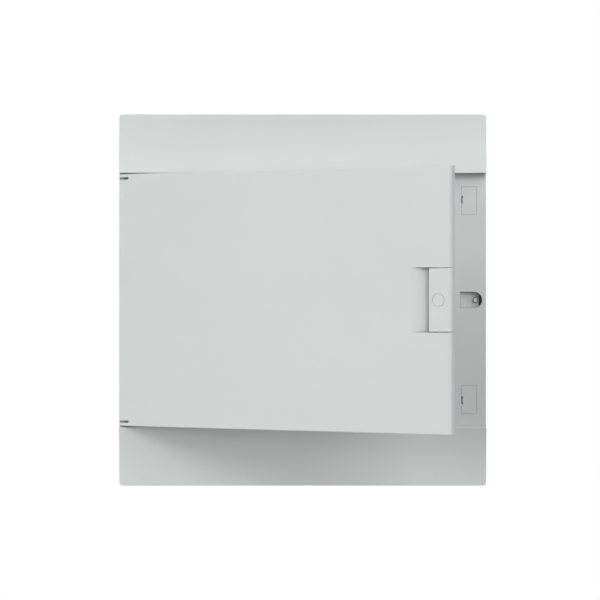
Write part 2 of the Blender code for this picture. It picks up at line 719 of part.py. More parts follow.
def build_caps_and_screws():
    right = cap_mesh()
    left = transformed(right, Matrix.Scale(-1, 4, (1, 0, 0)))
    # the lower caps are the upper ones of the other side, turned half round
    half_turn = Matrix.Rotation(math.pi, 4, "Y")
    caps = {
        "upper_right": right,
        "upper_left": left,
        "lower_right": transformed(left, half_turn),
        "lower_left": transformed(right, half_turn),
    }
    screw = slotted_screw(
        "screw", Y_LEDGE + 5.7, Y_LEDGE + 3.4, radius=3.5, head_radius=2.9, segments=14,
        shank=(Y_LEDGE + 5.2, -70, 1.6), slot=(2, Y_LEDGE + 3, Y_LEDGE + 4.6),
    )  # fmt: skip
    for corner, (sx, sz) in CORNERS.items():
        at = (sx * CAP_X, 0, sz * CAP_Z)
        place(f"screw_cap_{corner}", caps[corner], at)
        place(f"cover_screw_{corner}", screw, at)


# ------------------------------------------------------------------ DIN chassis
def build_rails():
    # upper half of the top-hat section: y, z
    hat = [
        (-24.5, 12.5), (Y_RAIL, 12.5), (Y_RAIL, 17.5), (-30, 17.5), (-30, 13.5), (-23.5, 13.5),
    ]  # fmt: skip
    rail = Piece("rail", "zinc", prism(mirrored(hat), "X", -180, 180))
    rail.cut(
        *rods([(side * POST_X, 0) for side in SIDES], -20, -28, 2.4, 12),
        *blocks([(x, 0) for x in (-110, -37, 37, 110)], 9, 3, -20, -28),
    )
    mesh = rail.baked()
    place("din_rail_upper", mesh, (0, 0, ROW_Z))
    place("din_rail_lower", mesh, (0, 0, -ROW_Z))


def build_uprights():
    """Channels, open to the back, that carry the rails."""
    wall = 2.5
    post = Piece("post", "box", block(MIDDLE, 10, 108, -3.3, -23.2))
    post.cut(block(MIDDLE, 10 - wall, 108 - wall, -1, -20.7))
    post.cut(*rods([(0, side * ROW_Z) for side in SIDES], -18, -25, 2.2, 12))
    mesh = post.baked()
    place("chassis_upright_right", mesh, (POST_X, 0, 0))
    place("chassis_upright_left", mesh, (-POST_X, 0, 0))


def build_rail_screws():
    screw = slotted_screw(
        "rail_screw", -24.8, -27.1, radius=3.9, head_radius=3.2, segments=12,
        shank=(-9, -25.3, 1.7), slot=(2.3, -26, -28),
    )  # fmt: skip
    for corner, (sx, sz) in CORNERS.items():
        place(f"rail_screw_{corner}", screw, (sx * POST_X, 0, sz * ROW_Z))


# ------------------------------------------------------------------ glands and terminal bars
def build_gland_plates():
    """Plates in the top and bottom walls, scored with a row of round knock-outs."""
    gland = Piece("gland", "box", box(-156, 156, -9.5, -48.5, 209.4, 211.7))
    gland.join(box(-149.6, 149.6, -14.4, -43.6, 211.2, 214.5))
    gland.cut(
        *[prism(ring(x, -29, 11.5, 10.6, 18), "Z", 213.6, 216) for x in range(-120, 121, 48)]
    )
    mesh = gland.baked()
    place("gland_plate_top", mesh)
    place("gland_plate_bottom", transformed(mesh, Matrix.Scale(-1, 4, (0, 0, 1))))


def build_terminal_bars():
    """Neutral and earth bars on one carrier near the top of the box."""
    bar_z, pitch = 173, 14
    carrier = Piece("terminal_carrier", "box", block((0, bar_z), 150, 13, -3.3, -6))
    carrier.join(*blocks([(x, bar_z) for x in (-134, -16, 16, 134)], 4, 8, -5, -13.8))
    bar = Piece("bar", "brass", block((0, bar_z), 62, 4.5, -14.1, -22.5))
    bar.join(*rods([(x, bar_z) for x in range(-49, 50, pitch)], -21.5, -24.6, 2.5, 8))
    # wire holes midway between the screws
    bar.cut(*[rod("Z", 166, 180, 1.9, (x, -17.6), 8) for x in range(-42, 43, pitch)])
    mesh = bar.baked()
    place("neutral_bar", mesh, (-75, 0, 0))
    place("earth_bar", mesh, (75, 0, 0))


# ------------------------------------------------------------------ DIN devices
# side outline of a housing: distance in front of Y_RAIL, height from the row's centre
HOUSING = [
    (-4.5, 42.5), (-4.5, 16.0), (-1.4, 16.0), (-1.4, 18.3), (0.3, 18.3),
    (0.3, -18.3), (-1.4, -18.3), (-1.4, -16.0), (-4.5, -16.0), (-4.5, -42.5),
    (40.5, -42.5), (44.0, -39.5), (44.0, -22.5), (59.0, -22.5), (60.0, -21.5),
    (60.0, 21.5), (59.0, 22.5), (44.0, 22.5), (44.0, 39.5), (40.5, 42.5),
]  # fmt: skip
TOGGLE_D, HUB_R, LEVER_R = 53.5, 6.0, 14.5  # toggle axis in front of Y_RAIL, and its radii
THROW = 40.0  # degrees
BUTTON_X, BUTTON_Z = 24.0, -15.0

# kind: ways, half width of the toggle, toggle material
DEVICES = {
    "single": (1, 3.5, "toggle_dark"),
    "double": (2, 12.0, "toggle_dark"),
    "triple": (3, 20.5, "toggle_dark"),
    "rcd": (4, 12.0, "toggle_blue"),
    "main": (4, 20.5, "toggle_dark"),
}
# row: height, then name and kind of each device; each row fills from the left
ROWS = {
    "upper": (ROW_Z, [
        ("main_switch", "main"), ("rcd_upper", "rcd"),
        ("breaker_1", "single"), ("breaker_2", "single"), ("breaker_3", "single"),
        ("breaker_4", "single"), ("breaker_5", "triple"),
    ]),
    "lower": (-ROW_Z, [
        ("rcd_lower", "rcd"), ("breaker_6", "single"), ("breaker_7", "single"),
        ("breaker_8", "double"), ("breaker_9", "triple"),
    ]),
}  # fmt: skip


def housing_mesh(kind):
    """Housing of a device, centred on its rail."""
    ways, toggle_half, _ = DEVICES[kind]
    half = ways * MODULE / 2 - 0.2
    outline = [(Y_RAIL - distance, z) for distance, z in HOUSING]
    body = Piece("device", "device", prism(outline, "X", -half, half))
    y_beyond = Y_RAIL - 62
    body.cut(block(MIDDLE, toggle_half + 0.4, 8.2, Y_RAIL - 46.5, y_beyond))
    poles = [(-ways / 2 + 0.5 + i) * MODULE for i in range(ways)]
    cuts = [
        box(x - 4, x + 4, Y_RAIL - 18, Y_RAIL - 28, side * 36, side * 45)
        for x in poles
        for side in SIDES
    ]
    if kind == "rcd":
        cuts.append(block((BUTTON_X, BUTTON_Z), 3.3, 3.3, Y_RAIL - 52, y_beyond))
    # seat of the rating plate
    cuts.append(box(-half + 2, half - 2, Y_RAIL - 59.6, y_beyond, 13.8, 20.2))
    body.cut(*cuts)
    return body.baked()


def toggle_mesh(kind):
    """Rocking lever about its own axis, in the switched-on position."""
    _, half, slot = DEVICES[kind]
    hub = Piece("toggle", slot, rod("X", -half, half, HUB_R, MIDDLE, 20))
    hub.join(block(MIDDLE, half - 0.1, 1.5, -3.5, -LEVER_R, radius=1.2, along="X", segments=2))
    mesh = hub.baked()
    mesh.transform(Matrix.Rotation(-math.radians(THROW), 4, "X"))
    smooth(mesh)
    return mesh


def test_button_mesh():
    shape = block(MIDDLE, 3, 3, 0, -7.3, radius=0.8, along="Y", segments=2)
    mesh = mesh_of("test_button", [shape])
    mesh.materials.append(material("button"))
    return mesh


def build_blanking_strip(row, z, spare_x):
    """Snap-in strip over the spare ways from spare_x to the right end of the window."""
    gap, wall = 0.4, 1.4
    x0, x1, half_z = spare_x + gap, WINDOW_X - gap, WINDOW_Z - gap
    plate = box(
        x0, x1, Y_PANEL - 1.6, Y_PANEL + 3.2, z - half_z, z + half_z,
        radius=0.8, along="Y", segments=1,
    )  # fmt: skip
    strip = Piece(f"blanking_strip_{row}", "blank", plate)
    inside_z = half_z - wall
    strip.cut(box(x0 + wall, x1 - wall, Y_PANEL + 0.2, Y_PANEL + 6, z - inside_z, z + inside_z))
    strip.join(
        *[
            box(x0 + 4, x1 - 4, Y_PANEL + 2.9, Y_PANEL + 4.2, z + side * 21.6, z + side * 24.2)
            for side in SIDES
        ]
    )
    spare_ways = round((ROW_END - spare_x) / MODULE)
    grooves = [(spare_x + MODULE * i, z) for i in range(1, spare_ways)]
    strip.cut(*blocks(grooves, 0.35, 24, Y_PANEL - 3, Y_PANEL - 0.9))


def build_comb(row, z, first, last):
    """Insulated comb busbar that feeds the breakers from below, one tooth a way."""
    body = box(first + 1, last - 1, Y_RAIL - 17, Y_RAIL - 29, z - 53, z - 45)
    comb = Piece(f"comb_busbar_{row}", "comb", body)
    teeth = [(first + MODULE * (i + 0.5), z - 42) for i in range(int((last - first) / MODULE))]
    comb.join(*blocks(teeth, 1.2, 4, Y_RAIL - 21, Y_RAIL - 25))


def build_rows():
    housings = {kind: housing_mesh(kind) for kind in DEVICES}
    toggles = {kind: toggle_mesh(kind) for kind in DEVICES}
    button = test_button_mesh()
    for row, (z, devices) in ROWS.items():
        edge = -ROW_END
        for name, kind in devices:
            width = DEVICES[kind][0] * MODULE
            x = edge + width / 2
            place(f"{name}_housing", housings[kind], (x, 0, z))
            place(f"{name}_toggle", toggles[kind], (x, Y_RAIL - TOGGLE_D, z))
            edge += width
            if kind == "rcd":
                at = (x + BUTTON_X, Y_RAIL - 53.7, z + BUTTON_Z)
                place(f"{name}_test_button", button, at)
                breakers_x = edge
        build_blanking_strip(row, z, edge)
        build_comb(row, z, breakers_x, edge)


build_back_box()
build_cover()
build_door_assembly()
build_fasteners()
build_caps_and_screws()
build_rails()
build_uprights()
build_rail_screws()
build_gland_plates()
build_terminal_bars()
build_rows()
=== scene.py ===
"""Residential load center with its door ajar: looks, small details, light and camera.

X runs to the right, Z up, and the front faces -Y. Two rows of devices lie across X,
one above and one below z = 0. Lengths are in metres.
"""

import json
import math

import bmesh
import bpy
from mathutils import Matrix, Vector


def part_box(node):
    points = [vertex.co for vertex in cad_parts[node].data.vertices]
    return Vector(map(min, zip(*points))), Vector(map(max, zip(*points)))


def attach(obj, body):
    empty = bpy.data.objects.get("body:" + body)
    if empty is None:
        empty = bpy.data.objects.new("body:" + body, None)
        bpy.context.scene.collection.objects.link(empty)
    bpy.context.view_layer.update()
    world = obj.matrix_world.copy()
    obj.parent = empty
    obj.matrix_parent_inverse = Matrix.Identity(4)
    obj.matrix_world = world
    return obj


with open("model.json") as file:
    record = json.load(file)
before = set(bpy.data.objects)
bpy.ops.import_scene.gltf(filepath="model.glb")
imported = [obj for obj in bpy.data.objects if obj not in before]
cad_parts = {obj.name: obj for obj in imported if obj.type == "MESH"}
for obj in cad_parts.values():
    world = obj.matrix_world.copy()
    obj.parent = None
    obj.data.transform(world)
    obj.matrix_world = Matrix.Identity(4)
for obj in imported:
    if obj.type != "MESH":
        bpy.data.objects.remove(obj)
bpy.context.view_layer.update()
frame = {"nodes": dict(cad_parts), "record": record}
NODES = frame["nodes"]

DOOR_OPEN = math.radians(28.3)
HINGE = (-0.2115, -0.1022, 0.0)
Y_PANEL = -0.081  # front of the panel round the devices
Y_NOSE = -0.091  # front of the device noses
POLE_PITCH = 0.0175
ROW_POLES = 18
SCENE_Y = -0.1  # depth that the lights and the floor are centred on


# ---------------------------------------------------------------- node graphs
class Graph:
    """Adds and links nodes in a node tree. Inputs take plain values or output sockets."""

    def __init__(self, tree):
        self.tree = tree

    def feed(self, node, inputs):
        for key, value in inputs.items():
            if isinstance(value, bpy.types.NodeSocket):
                self.tree.links.new(value, node.inputs[key])
            else:
                node.inputs[key].default_value = value

    def add(self, kind, inputs=None, **settings):
        node = self.tree.nodes.new(kind)
        for key, value in settings.items():
            setattr(node, key, value)
        self.feed(node, inputs or {})
        return node

    def axes(self, vector):
        return self.add("ShaderNodeSeparateXYZ", {0: vector}).outputs

    def span(self, value, between=(0.3, 0.7), to=(0.0, 1.0), **settings):
        """Maps one range to another. The default source is where most noise values fall."""
        inputs = {"Value": value, "From Min": between[0], "From Max": between[1],
                  "To Min": to[0], "To Max": to[1]}
        return self.add("ShaderNodeMapRange", inputs, **settings).outputs["Result"]


class Material(Graph):
    """The graph of a new material, built round its Principled BSDF."""

    def __init__(self, name):
        self.mat = bpy.data.materials.new(name)
        self.mat.use_nodes = True
        super().__init__(self.mat.node_tree)
        self.bsdf = self.tree.nodes["Principled BSDF"]

    def coords(self, scale=(1, 1, 1), shift=(0, 0, 0)):
        where = self.add("ShaderNodeTexCoord").outputs["Object"]
        inputs = {"Scale": scale, "Location": shift, "Vector": where}
        return self.add("ShaderNodeMapping", inputs).outputs["Vector"]

    def noise(self, vector, scale, detail, rough):
        inputs = {"Scale": scale, "Detail": detail, "Roughness": rough, "Vector": vector}
        return self.add("ShaderNodeTexNoise", inputs).outputs["Fac"]

    def math(self, operation, first, second, clamp=False):
        inputs = {0: first, 1: second, 2: 0.0}
        node = self.add("ShaderNodeMath", inputs, operation=operation, use_clamp=clamp)
        return node.outputs[0]

    def mix(self, factor, *colours):
        """Blends two colours, each an RGB tuple or a socket."""
        first, second = ((*c, 1) if isinstance(c, tuple) else c for c in colours)
        inputs = {0: factor, 6: first, 7: second}
        return self.add("ShaderNodeMix", inputs, data_type="RGBA").outputs[2]

    def edges(self, radius, gain):
        """Near 1 on sharp edges and 0 on flats."""
        rounded = self.add("ShaderNodeBevel", {"Radius": radius}, samples=4).outputs["Normal"]
        flat = self.add("ShaderNodeNewGeometry").outputs["Normal"]
        dot = self.add("ShaderNodeVectorMath", {0: rounded, 1: flat}, operation="DOT_PRODUCT")
        bend = self.math("SUBTRACT", 1.0, dot.outputs["Value"])
        return self.math("MULTIPLY", bend, gain, clamp=True)

    def bump(self, height, strength, distance):
        inputs = {"Strength": strength, "Distance": distance, "Height": height}
        self.put(Normal=self.add("ShaderNodeBump", inputs).outputs["Normal"])

    def put(self, **sockets):
        self.feed(self.bsdf, {key.replace("_", " "): v for key, v in sockets.items()})


def tint(colour, by):
    return tuple(min(1.0, c * by) for c in colour)


# ---------------------------------------------------------------- materials
def plastic(name, colour, rough, grain, bump, wear=0.05, mottle=0.02, dust=0.0, painted_crease_shade=0.6):
    """Moulded plastic: fine grain, flow mottling, polished edges, dust on upper faces and painted
    shade in creases and hollows.

    grain is a noise scale; wear, mottle and dust are strengths, and so is the last argument, which
    sets how dark the painted shade in creases and hollows gets."""
    graph = Material(name)
    place = graph.coords()
    broad = graph.noise(place, scale=9.0, detail=4.0, rough=0.55)
    flow = graph.noise(graph.coords(scale=(1, 1, 0.35)), scale=42.0, detail=3.0, rough=0.6)
    fine = graph.noise(place, scale=grain, detail=2.0, rough=0.6)
    speck = graph.noise(place, scale=grain * 0.31, detail=2.0, rough=0.5)
    base = graph.mix(graph.span(broad), tint(colour, by=1 - mottle), tint(colour, by=1 + mottle))
    flowing = graph.span(flow, between=(0.35, 0.65), to=(0.0, 0.5))
    base = graph.mix(flowing, base, tint(colour, by=1 - mottle * 0.6))
    specks = graph.span(speck, between=(0.58, 0.8), to=(0.0, 0.22))
    base = graph.mix(specks, base, tint(colour, by=0.9))
    edge = graph.edges(radius=0.0007, gain=2.2)
    worn = graph.math("MULTIPLY", edge, wear * 6, clamp=True)
    base = graph.mix(worn, base, tint(colour, by=1 + wear))
    # painted shade: ambient occlusion darkens the colour in tight creases, then in wider hollows;
    # reach, openness range, darkening
    for reach, openness, strength in (
        (0.004, (0.25, 0.9), painted_crease_shade),
        (0.014, (0.3, 0.95), painted_crease_shade * 0.55),
    ):
        occlusion = graph.add("ShaderNodeAmbientOcclusion", {"Distance": reach}, samples=8)
        shade = graph.span(occlusion.outputs["AO"], between=openness, to=(strength, 0.0))
        base = graph.mix(shade, base, tint(colour, by=0.45))
    if dust:
        facing = graph.axes(graph.add("ShaderNodeNewGeometry").outputs["Normal"])
        upward = graph.span(facing["Z"], between=(0.3, 1.0), to=(0.0, dust))
        patches = graph.noise(place, scale=60.0, detail=5.0, rough=0.7)
        patches = graph.span(patches, between=(0.35, 0.7), to=(0.2, 1.0))
        dust_colour = (0.60, 0.58, 0.54)
        base = graph.mix(graph.math("MULTIPLY", upward, patches), base, dust_colour)
    gloss = graph.math(
        "ADD",
        graph.span(speck, to=(rough - 0.05, rough + 0.06)),
        graph.span(broad, to=(-0.03, 0.03)),
    )
    edge_polish = 0.12
    polish = graph.math("MULTIPLY", edge, edge_polish)
    gloss = graph.math("SUBTRACT", gloss, polish, clamp=True)
    graph.put(Base_Color=base, Roughness=gloss, Specular_IOR_Level=0.42)
    speck_height = 0.8
    height = graph.math("ADD", fine, graph.math("MULTIPLY", speck, speck_height))
    graph.bump(height, strength=bump, distance=0.00003)
    return graph.mat


def metal(name, colour, rough, lines, scale, tarnish):
    """Drawn or plated metal: stretched scratches (lines), broad tarnish and bright edges."""
    graph = Material(name)
    place = graph.coords()
    scratch = graph.noise(graph.coords(scale=lines), scale=scale, detail=4.0, rough=0.65)
    cloud = graph.noise(place, scale=55.0, detail=5.0, rough=0.6)
    clouding = graph.span(cloud, between=(0.35, 0.7), to=(0.0, tarnish * 4))
    base = graph.mix(clouding, colour, tint(colour, by=1 - tarnish))
    scratched = graph.span(scratch, between=(0.55, 0.8), to=(0.0, 0.35))
    base = graph.mix(scratched, base, tint(colour, by=0.82))
    base = graph.mix(graph.edges(radius=0.0004, gain=1.5), base, tint(colour, by=1.15))
    gloss = graph.math(
        "ADD",
        graph.span(scratch, to=(rough - 0.07, rough + 0.1)),
        graph.span(cloud, to=(-0.03, 0.06)),
    )
    graph.put(Base_Color=base, Metallic=1.0, Roughness=gloss)
    graph.bump(scratch, strength=0.25, distance=0.00003)
    return graph.mat


def card(name, colour, columns, rows, box, turn=0.0, pivot=(0, 0, 0), ink=(0.30, 0.33, 0.36)):
    """Uncoated card printed with an empty ruled table.

    box is (x0, x1, z0, z1) measured from pivot, once turned about it by turn."""
    graph = Material(name)
    back = graph.coords(shift=tuple(-c for c in pivot))
    inputs = {"Angle": turn, "Vector": back}
    spin = graph.add("ShaderNodeVectorRotate", inputs, rotation_type="Z_AXIS")
    place = graph.axes(spin.outputs["Vector"])
    x0, x1, z0, z1 = box
    column = graph.span(place["X"], between=(x0, x1), to=(0.0, columns))
    row = graph.span(place["Z"], between=(z0, z1), to=(0.0, rows))
    slack = 0.02  # share of a cell by which the outer lines overrun

    def ruled(value, count, size, thick):
        near = graph.math("PINGPONG", value, 0.5)
        return graph.math("LESS_THAN", near, thick / (size / count))

    def within(value, count):
        return graph.math(
            "MULTIPLY",
            graph.math("GREATER_THAN", value, -slack),
            graph.math("LESS_THAN", value, count + slack),
        )

    line = graph.math(
        "MAXIMUM",
        ruled(column, columns, size=x1 - x0, thick=0.00018),
        ruled(row, rows, size=z1 - z0, thick=0.00016),
    )
    inside = graph.math("MULTIPLY", within(column, columns), within(row, rows))
    heading = graph.math("MULTIPLY", graph.math("GREATER_THAN", row, rows - 1.0), inside)
    place = graph.coords()
    fibre = graph.noise(graph.coords(scale=(1, 1, 0.3)), scale=900.0, detail=4.0, rough=0.7)
    cloud = graph.noise(place, scale=30.0, detail=4.0, rough=0.6)
    paper = graph.mix(graph.span(cloud, to=(0.0, 0.6)), colour, tint(colour, by=0.94))
    fibres = graph.span(fibre, between=(0.5, 0.8), to=(0.0, 0.3))
    paper = graph.mix(fibres, paper, tint(colour, by=0.86))
    heading_strength, heading_colour = 0.35, (0.45, 0.52, 0.56)
    shaded = graph.math("MULTIPLY", heading, heading_strength)
    paper = graph.mix(shaded, paper, heading_colour)
    # the ink is broken up by a very fine noise
    broken = graph.noise(place, scale=2500.0, detail=2.0, rough=0.6)
    broken = graph.span(broken, between=(0.25, 0.5), to=(0.45, 0.9))
    inked = graph.math("MULTIPLY", graph.math("MULTIPLY", line, inside), broken)
    paper = graph.mix(inked, paper, ink)
    gloss = graph.span(fibre, to=(0.68, 0.86))
    graph.put(Base_Color=paper, Roughness=gloss, Specular_IOR_Level=0.3)
    graph.bump(fibre, strength=0.3, distance=0.00004)
    return graph.mat


GREY = (0.63, 0.655, 0.65)
DOOR = dict(rough=0.40, grain=1000, bump=0.22, mottle=0.010, dust=0.05)
TOGGLE = dict(rough=0.33, grain=1500, bump=0.2, mottle=0.08)
# keyed by material slot, except "handle", which is the door handle's own
MATERIALS = {
    "cover": plastic("cover_abs", GREY, rough=0.44, grain=850, bump=0.32, mottle=0.012, dust=0.05),
    # the door paints the shade in its creases and hollows darker than the default, and its handle
    # paints it half as dark as the door
    "door": plastic("door_abs", GREY, painted_crease_shade=1.0, **DOOR),
    "handle": plastic("handle_abs", GREY, painted_crease_shade=0.5, **DOOR),
    "box": plastic("box_abs", (0.60, 0.62, 0.615),
                   rough=0.52, grain=520, bump=0.5, mottle=0.025, dust=0.10),
    "device": plastic("device_polyamide", (0.78, 0.795, 0.785),
                      rough=0.42, grain=1300, bump=0.25, mottle=0.015),
    "toggle_dark": plastic("toggle_black", (0.035, 0.037, 0.040), wear=0.35, **TOGGLE),
    "toggle_blue": plastic("toggle_blue", (0.035, 0.10, 0.33), wear=0.25, **TOGGLE),
    "button": plastic("button_amber", (0.80, 0.50, 0.05),
                      rough=0.35, grain=1500, bump=0.2, wear=0.1, mottle=0.05),
    "blank": plastic("blank_abs", (0.66, 0.68, 0.67), rough=0.48, grain=900, bump=0.35),
    "zinc": metal("zinc_plate", (0.70, 0.71, 0.72),
                  rough=0.33, lines=(1, 6, 6), scale=260.0, tarnish=0.12),
    "steel": metal("stainless", (0.60, 0.61, 0.62),
                   rough=0.26, lines=(8, 8, 1), scale=380.0, tarnish=0.08),
    "brass": metal("brass_drawn", (0.70, 0.50, 0.22),
                   rough=0.30, lines=(1, 7, 7), scale=300.0, tarnish=0.25),
    "comb": plastic("comb_insulation", (0.20, 0.21, 0.23),
                    rough=0.5, grain=700, bump=0.4, mottle=0.05),
    "card": card("chart_card", (0.86, 0.86, 0.83), columns=6, rows=13,
                 box=(0.064, 0.2285, -0.059, 0.059), turn=DOOR_OPEN, pivot=HINGE),
    "fastener": plastic("fastener_nylon", (0.74, 0.755, 0.75), rough=0.38, grain=1200, bump=0.25),
}
PRINT = plastic("pad_print", (0.10, 0.105, 0.11),
                rough=0.5, grain=2200, bump=0.15, wear=0.1, mottle=0.06)
FLAG = plastic("flag_red", (0.55, 0.03, 0.025), rough=0.35, grain=2000, bump=0.1, mottle=0.05)


# ---------------------------------------------------------------- shading of the CAD nodes
def shading_group():
    """Shades smooth, with edges above 32 degrees kept sharp."""
    group = bpy.data.node_groups.new("smooth_by_angle", "GeometryNodeTree")
    for direction in ("INPUT", "OUTPUT"):
        group.interface.new_socket(
            "Geometry", in_out=direction, socket_type="NodeSocketGeometry"
        )
    graph = Graph(group)
    start = graph.add("NodeGroupInput")
    end = graph.add("NodeGroupOutput")
    faces = graph.add(
        "GeometryNodeSetShadeSmooth",
        {"Shade Smooth": True, "Geometry": start.outputs[0]},
        domain="FACE",
    )
    angle = graph.add("GeometryNodeInputMeshEdgeAngle").outputs["Unsigned Angle"]
    above = graph.add(
        "FunctionNodeCompare",
        {"B": math.radians(32), "A": angle},
        data_type="FLOAT",
        operation="GREATER_THAN",
    )
    edges = graph.add(
        "GeometryNodeSetShadeSmooth",
        {"Shade Smooth": False, "Geometry": faces.outputs[0], "Selection": above.outputs[0]},
        domain="EDGE",
    )
    graph.feed(end, {0: edges.outputs[0]})
    return group


SMOOTH = shading_group()


def clean_shading(obj):
    """Welds the imported corners, merges flat faces and sets the normals."""
    weld = obj.modifiers.new("weld", "WELD")
    weld.merge_threshold = 0.000002
    flat = obj.modifiers.new("planar", "DECIMATE")
    flat.decimate_type = "DISSOLVE"
    flat.angle_limit = math.radians(0.4)
    smooth = obj.modifiers.new("shade", "NODES")
    smooth.node_group = SMOOTH
    # broad faces keep their own normal
    broad = obj.modifiers.new("broad_faces", "WEIGHTED_NORMAL")
    broad.mode = "FACE_AREA"
    broad.weight = 50
    broad.keep_sharp = True


slot_of = {part["node"]: part["material_slot"] for part in frame["record"]["subparts"]}
for name, obj in NODES.items():
    obj.data.materials.clear()
    obj.data.materials.append(MATERIALS["handle" if name == "door_handle" else slot_of[name]])
    clean_shading(obj)


# ---------------------------------------------------------------- helpers for added pieces
def piece(name, shapes, mat, body, bevel=0.0, segments=2):
    """One object made of bmesh shapes, riding on body."""
    whole = bmesh.new()
    for shape in shapes:
        part = bpy.data.meshes.new("part")
        shape.to_mesh(part)
        shape.free()
        whole.from_mesh(part)
        bpy.data.meshes.remove(part)
    mesh = bpy.data.meshes.new(name)
    whole.to_mesh(mesh)
    whole.free()
    mesh.shade_smooth()
    mesh.set_sharp_from_angle(angle=math.radians(35))
    mesh.materials.append(mat)
    obj = bpy.data.objects.new(name, mesh)
    bpy.context.scene.collection.objects.link(obj)
    if bevel:
        edge = obj.modifiers.new("edge", "BEVEL")
        edge.width = bevel
        edge.segments = segments
        edge.limit_method = "ANGLE"
        edge.angle_limit = math.radians(38)
    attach(obj, body)


def around(centre, half):
    return centre - half, centre + half


def cuboid(*spans, rounding=0.0, matrix=None):
    """A block from its X, Y and Z spans; rounding is the radius of the edges along Y."""
    shape = bmesh.new()
    bmesh.ops.create_cube(shape, size=1.0)
    size = [abs(b - a) for a, b in spans]
    bmesh.ops.scale(shape, vec=size, verts=shape.verts)
    bmesh.ops.translate(shape, vec=[(a + b) / 2 for a, b in spans], verts=shape.verts)
    if rounding:
        edges = [e for e in shape.edges if abs((e.verts[0].co - e.verts[1].co).y) > 1e-6]
        bmesh.ops.bevel(
            shape, geom=edges, offset=rounding, segments=3, affect="EDGES", profile=0.5
        )
    if matrix is not None:
        bmesh.ops.transform(shape, matrix=matrix, verts=shape.verts)
    return shape


def ring(x, y, z, radius, wall, depth, segments=32):
    """A flat ring facing -Y, with its back at y."""
    shape = bmesh.new()
    inner = radius - wall
    loops = []
    for reach, level in ((radius, y), (radius, y - depth), (inner, y - depth), (inner, y)):
        loop = []
        for i in range(segments):
            angle = 2 * math.pi * i / segments
            corner = (x + reach * math.cos(angle), level, z + reach * math.sin(angle))
            loop.append(shape.verts.new(corner))
        loops.append(loop)
    for k in range(4):
        first, second = loops[k], loops[(k + 1) % 4]
        for i in range(segments):
            j = (i + 1) % segments
            shape.faces.new((first[i], first[j], second[j], second[i]))
    bmesh.ops.recalc_face_normals(shape, faces=shape.faces)
    return shape


# ---------------------------------------------------------------- device fronts
PRINT_SUNK, PRINT_PROUD = 0.00005, 0.00006  # behind and in front of the nose face
TOGGLE_AXIS_Y = -0.0845
LEVER_TURN = math.radians(-40)
GROOVE_PITCH = 0.0008


def on_nose(x_span, z_span, sunk=PRINT_SUNK, proud=PRINT_PROUD, rounding=0.0):
    """A thin block at the nose face. A negative proud leaves it behind the face."""
    return cuboid(x_span, (Y_NOSE + sunk, Y_NOSE - proud), z_span, rounding=rounding)


def printed_marks(device, x, z, poles):
    """A bar above the toggle, a ring below it and, on multipole devices, pole strokes."""
    marks = [
        on_nose(around(x, 0.0003), (z + 0.0095, z + 0.0122)),
        ring(x, Y_NOSE + PRINT_SUNK, z - 0.0112, radius=0.0015, wall=0.0005,
             depth=PRINT_SUNK + PRINT_PROUD),
    ]
    if poles > 1:
        for k in range(poles):
            pole_x = x + (k - (poles - 1) / 2) * POLE_PITCH
            # an upright stroke with a short dash to its right
            marks.append(on_nose(around(pole_x, 0.00012), (z - 0.0212, z - 0.0192)))
            marks.append(on_nose((pole_x + 0.0004, pole_x + 0.0013), (z - 0.0204, z - 0.0201)))
    piece(device + "_marks", marks, PRINT, "board")


def contact_flag(device, x, z, toggle_half):
    flag = on_nose(around(x, min(toggle_half, 0.003)), (z - 0.0178, z - 0.0158),
                   sunk=0.0002, proud=0.0001, rounding=0.0004)
    piece(device + "_contact_flag", [flag], FLAG, "board", bevel=0.00005)


def rating_plate(device, left, right, z):
    """A blank ruled plate near the top of the nose."""
    table = (left + 0.0035, right - 0.0035, z + 0.0147, z + 0.0193)
    mat = card(device + "_plate_card", (0.90, 0.905, 0.90), columns=1, rows=3, box=table,
               ink=(0.55, 0.57, 0.60))
    plate = on_nose((left + 0.0022, right - 0.0022), (z + 0.0141, z + 0.0199),
                    sunk=0.0006, proud=-0.00022, rounding=0.0003)
    piece(device + "_rating_plate", [plate], mat, "board")


def pole_seams(device, x, z, poles, toggle_half):
    """Dark lines between poles, left out where the toggle covers them."""
    seams = []
    for k in range(1, poles):
        offset = (k - poles / 2) * POLE_PITCH
        if abs(offset) > toggle_half + 0.0006:
            seams.append(on_nose(around(x + offset, 0.00012), (z - 0.0213, z + 0.0135),
                                 proud=0.00002))
    if seams:
        piece(device + "_pole_seams", seams, MATERIALS["comb"], "board")


def lever_grip(device, x, z, toggle_half, slot):
    """Three thin bars across the lever's tip, turned about the toggle's axis."""
    turned = (Matrix.Translation((x, TOGGLE_AXIS_Y, z))
              @ Matrix.Rotation(LEVER_TURN, 4, "X"))
    bars = [
        cuboid(around(0.0, toggle_half - 0.0009), (-0.0143, -0.0149),
               around(k * GROOVE_PITCH, 0.00022), matrix=turned)
        for k in (-1, 0, 1)
    ]
    piece(device + "_lever_grip", bars, MATERIALS[slot], device + "_lever",
          bevel=0.00006, segments=1)


def device_front(housing):
    low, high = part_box(housing)
    x, z = (low.x + high.x) / 2, (low.z + high.z) / 2
    device = housing.replace("_housing", "")
    toggle = device + "_toggle"
    toggle_low, toggle_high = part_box(toggle)
    toggle_half = (toggle_high.x - toggle_low.x) / 2
    poles = round((high.x - low.x) / POLE_PITCH)
    printed_marks(device, x, z, poles)
    contact_flag(device, x, z, toggle_half)
    rating_plate(device, low.x, high.x, z)
    pole_seams(device, x, z, poles, toggle_half)
    lever_grip(device, x, z, toggle_half, slot_of[toggle])


for name in sorted(n for n in NODES if n.endswith("_housing")):
    device_front(name)

# ---------------------------------------------------------------- marking strips
STRIP_HALF = 0.1600
RAIL_HALF = 0.1610
RAIL_GAP = 0.0011  # from the strip's edge to the rail's middle
TABLE_HALF = ROW_POLES * POLE_PITCH / 2


